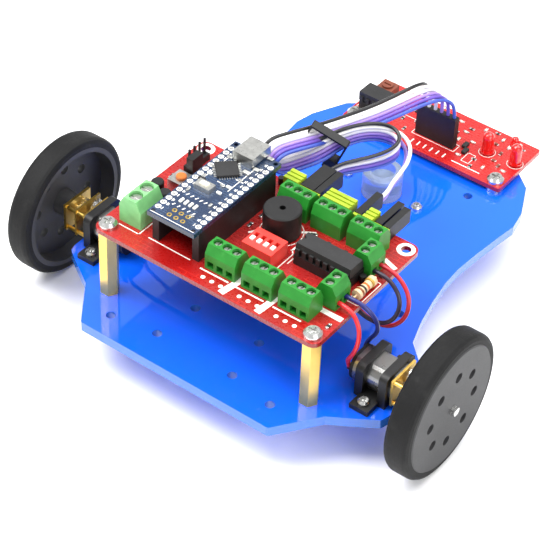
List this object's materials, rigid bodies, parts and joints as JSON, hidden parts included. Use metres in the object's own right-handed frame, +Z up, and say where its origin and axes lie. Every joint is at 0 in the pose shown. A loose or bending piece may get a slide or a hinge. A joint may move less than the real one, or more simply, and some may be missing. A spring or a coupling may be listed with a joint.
{
  "type": "two wheel robot car",
  "caption": "Small two-wheel-drive robot car with an acrylic plate, stacked control board, ball caster and front line-sensor board.",
  "frame": {"origin": "on the floor, at the centre of the whole car's outline seen from above", "axes": "+Z up, +Y forwards towards the line-sensor board, +X to the car's right along the wheel axle"},
  "size_m": [0.157, 0.16, 0.0609],
  "materials": {
    "blue_acrylic": "polished",
    "brass": "satin",
    "steel": "satin",
    "red_board": "solder mask",
    "green_plastic": "moulded",
    "pale_green_plastic": "moulded",
    "black_plastic": "moulded",
    "blue_board": "solder mask",
    "chip_black": "moulded",
    "cream_plastic": "moulded",
    "red_plastic": "moulded",
    "yellow_plastic": "moulded",
    "orange_plastic": "moulded",
    "red_lens": "clear red",
    "beige_resistor": "banded",
    "grey_plastic": "satin",
    "tyre_rubber": "matt",
    "clear_plastic": "translucent",
    "brown_plastic": "moulded",
    "wire_insulation": "PVC",
    "white_plastic": "moulded"
  },
  "bodies": {
    "chassis": {"axial_resistor": "beige_resistor", "brass_posts": "brass", "buzzer": "black_plastic", "cable_tie": "black_plastic", "capacitors": "black_plastic", "caster_housing": "clear_plastic", "chassis_plate": "blue_acrylic", "controller_board": "blue_board", "controller_chips": "chip_black", "controller_header_pins": "black_plastic", "controller_sockets": "black_plastic", "controller_usb_port": "steel", "dip_switch_body": "red_plastic", "driver_chip": "chip_black", "driver_chip_socket": "black_plastic", "floor_sensors": "clear_plastic", "front_port_terminals": "green_plastic", "indicator_leds": "red_lens", "jumper_plugs": "black_plastic", "left_gearbox_frame": "brass", "left_motor_can": "steel", "left_motor_wires": "wire_insulation", "m2_screws_and_nuts": "steel", "m3_screws": "steel", "main_board": "red_board", "motor_brackets": "black_plastic", "motor_end_caps": "black_plastic", "motor_terminals": "green_plastic", "port_headers": "yellow_plastic", "power_terminal": "pale_green_plastic", "push_switch_bodies": "black_plastic", "rear_port_terminals": "green_plastic", "ribbon_cable": "wire_insulation", "right_gearbox_frame": "brass", "right_motor_can": "steel", "right_motor_wires": "wire_insulation", "sensor_board": "red_board", "sensor_chip_and_socket": "chip_black", "sensor_plug": "black_plastic", "sensor_spacers_and_nuts": "steel", "sensor_trimmer": "brown_plastic", "side_headers": "black_plastic", "terminal_screws": "steel"},
    "left_wheel": {"left_tyre": "tyre_rubber", "left_wheel_hub": "grey_plastic", "left_output_shaft": "steel"},
    "right_wheel": {"right_tyre": "tyre_rubber", "right_wheel_hub": "grey_plastic", "right_output_shaft": "steel"},
    "left_layshaft": {"left_layshaft": "steel"},
    "right_layshaft": {"right_layshaft": "steel"},
    "left_armature": {"left_motor_armature": "steel"},
    "right_armature": {"right_motor_armature": "steel"},
    "caster_ball": {"caster_ball": "steel"},
    "reset_button": {"reset_button": "cream_plastic"},
    "start_button": {"start_button": "orange_plastic"},
    "dip_slider_1": {"dip_slider_1": "white_plastic"},
    "dip_slider_2": {"dip_slider_2": "white_plastic"},
    "dip_slider_3": {"dip_slider_3": "white_plastic"},
    "dip_slider_4": {"dip_slider_4": "white_plastic"}
  },
  "joints": [
    {"name": "left_wheel_spin", "type": "hinge", "parent": "chassis", "child": "left_wheel", "pos_m": [-0.0725, -0.045, 0.024], "axis": [1, 0, 0], "continuous": true},
    {"name": "left_layshaft_spin", "type": "hinge", "parent": "chassis", "child": "left_layshaft", "pos_m": [-0.0635, -0.0424, 0.02619], "axis": [1, 0, 0], "continuous": true},
    {"name": "left_armature_spin", "type": "hinge", "parent": "chassis", "child": "left_armature", "pos_m": [-0.055, -0.045, 0.024], "axis": [1, 0, 0], "continuous": true},
    {"name": "right_wheel_spin", "type": "hinge", "parent": "chassis", "child": "right_wheel", "pos_m": [0.0725, -0.045, 0.024], "axis": [1, 0, 0], "continuous": true},
    {"name": "right_layshaft_spin", "type": "hinge", "parent": "chassis", "child": "right_layshaft", "pos_m": [0.0635, -0.0424, 0.02619], "axis": [1, 0, 0], "continuous": true},
    {"name": "right_armature_spin", "type": "hinge", "parent": "chassis", "child": "right_armature", "pos_m": [0.055, -0.045, 0.024], "axis": [1, 0, 0], "continuous": true},
    {"name": "caster_ball_roll", "type": "hinge", "parent": "chassis", "child": "caster_ball", "pos_m": [0, 0.031, 0.006], "axis": [1, 0, 0], "continuous": true},
    {"name": "reset_button_press", "type": "slide", "parent": "chassis", "child": "reset_button", "axis": [0, 0, -1], "range_m": [0, 0.00025], "stiffness_N_per_m": 400, "springref_m": -0.0002},
    {"name": "start_button_press", "type": "slide", "parent": "chassis", "child": "start_button", "axis": [0, 0, -1], "range_m": [0, 0.0003], "stiffness_N_per_m": 500, "springref_m": -0.0002},
    {"name": "dip_slider_1_slide", "type": "slide", "parent": "chassis", "child": "dip_slider_1", "axis": [0, 1, 0], "range_m": [0, 0.0021]},
    {"name": "dip_slider_2_slide", "type": "slide", "parent": "chassis", "child": "dip_slider_2", "axis": [0, 1, 0], "range_m": [0, 0.0021]},
    {"name": "dip_slider_3_slide", "type": "slide", "parent": "chassis", "child": "dip_slider_3", "axis": [0, 1, 0], "range_m": [0, 0.0021]},
    {"name": "dip_slider_4_slide", "type": "slide", "parent": "chassis", "child": "dip_slider_4", "axis": [0, 1, 0], "range_m": [0, 0.0021]}
  ],
  "couplings": [
    {"joint": "left_layshaft_spin", "follows": "left_wheel_spin", "ratio": -2.5},
    {"joint": "left_armature_spin", "follows": "left_wheel_spin", "ratio": 6.25},
    {"joint": "right_layshaft_spin", "follows": "right_wheel_spin", "ratio": -2.5},
    {"joint": "right_armature_spin", "follows": "right_wheel_spin", "ratio": 6.25}
  ]
}
